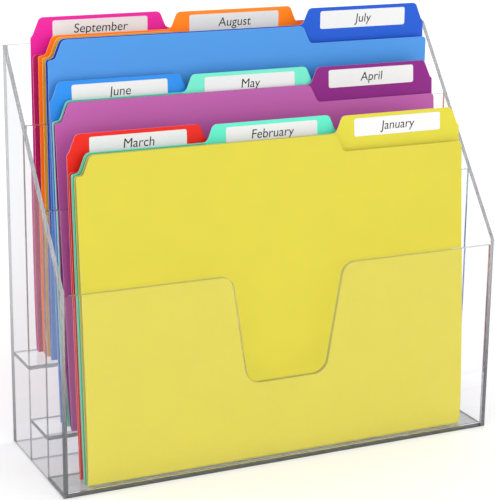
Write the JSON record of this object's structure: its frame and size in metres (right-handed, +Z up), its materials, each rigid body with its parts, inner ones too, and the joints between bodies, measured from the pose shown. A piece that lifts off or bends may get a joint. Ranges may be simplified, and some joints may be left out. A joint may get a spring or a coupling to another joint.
{
  "type": "desktop file sorter",
  "caption": "Clear acrylic desktop file sorter with stepped tiers, a finger notch in the front and coloured tabbed letter folders that lift out",
  "frame": {"origin": "centre of the footprint, on the plane of the desk", "axes": "+Z up, front towards -Y, +X to the right as seen from the front"},
  "size_m": [0.338, 0.113, 0.3131],
  "materials": {
    "acrylic": "clear cast acrylic sheet with flame-polished edges",
    "card_yellow": "smooth uncoated folder card",
    "card_mint": "smooth uncoated folder card",
    "card_red": "smooth uncoated folder card",
    "card_purple": "smooth uncoated folder card",
    "card_aqua": "smooth uncoated folder card",
    "card_sky_blue": "smooth uncoated folder card",
    "card_blue": "smooth uncoated folder card",
    "card_orange": "smooth uncoated folder card",
    "card_magenta": "smooth uncoated folder card",
    "label_paper": "matt white label paper"
  },
  "bodies": {
    "sorter": {"left_side_panel": "acrylic", "right_side_panel": "acrylic", "back_panel": "acrylic", "rear_divider": "acrylic", "front_divider": "acrylic", "front_panel": "acrylic", "front_tier_floor": "acrylic", "middle_tier_shelf": "acrylic", "rear_tier_shelf": "acrylic"},
    "january_folder": {"january_folder": "card_yellow", "january_label": "label_paper"},
    "february_folder": {"february_folder": "card_mint", "february_label": "label_paper"},
    "march_folder": {"march_folder": "card_red", "march_label": "label_paper"},
    "april_folder": {"april_folder": "card_purple", "april_label": "label_paper"},
    "may_folder": {"may_folder": "card_aqua", "may_label": "label_paper"},
    "june_folder": {"june_folder": "card_sky_blue", "june_label": "label_paper"},
    "july_folder": {"july_folder": "card_blue", "july_label": "label_paper"},
    "august_folder": {"august_folder": "card_orange", "august_label": "label_paper"},
    "september_folder": {"september_folder": "card_magenta", "september_label": "label_paper"}
  },
  "joints": [
    {"name": "january_lift", "type": "slide", "parent": "sorter", "child": "january_folder", "axis": [0, 0.0692, 0.9976], "range_m": [0, 0.1464]},
    {"name": "february_lift", "type": "slide", "parent": "sorter", "child": "february_folder", "axis": [0, 0.0682, 0.9977], "range_m": [0, 0.1463]},
    {"name": "march_lift", "type": "slide", "parent": "sorter", "child": "march_folder", "axis": [0, 0.0623, 0.9981], "range_m": [0, 0.1463]},
    {"name": "april_lift", "type": "slide", "parent": "sorter", "child": "april_folder", "axis": [0, 0.0795, 0.9968], "range_m": [0, 0.1677]},
    {"name": "may_lift", "type": "slide", "parent": "sorter", "child": "may_folder", "axis": [0, 0.0816, 0.9967], "range_m": [0, 0.1677]},
    {"name": "june_lift", "type": "slide", "parent": "sorter", "child": "june_folder", "axis": [0, 0.0693, 0.9976], "range_m": [0, 0.1676]},
    {"name": "july_lift", "type": "slide", "parent": "sorter", "child": "july_folder", "axis": [0, 0.0318, 0.9995], "range_m": [0, 0.179]},
    {"name": "august_lift", "type": "slide", "parent": "sorter", "child": "august_folder", "axis": [0, 0.0111, 0.9999], "range_m": [0, 0.1789]},
    {"name": "september_lift", "type": "slide", "parent": "sorter", "child": "september_folder", "axis": [0, 0.0057, 1], "range_m": [0, 0.1789]}
  ]
}
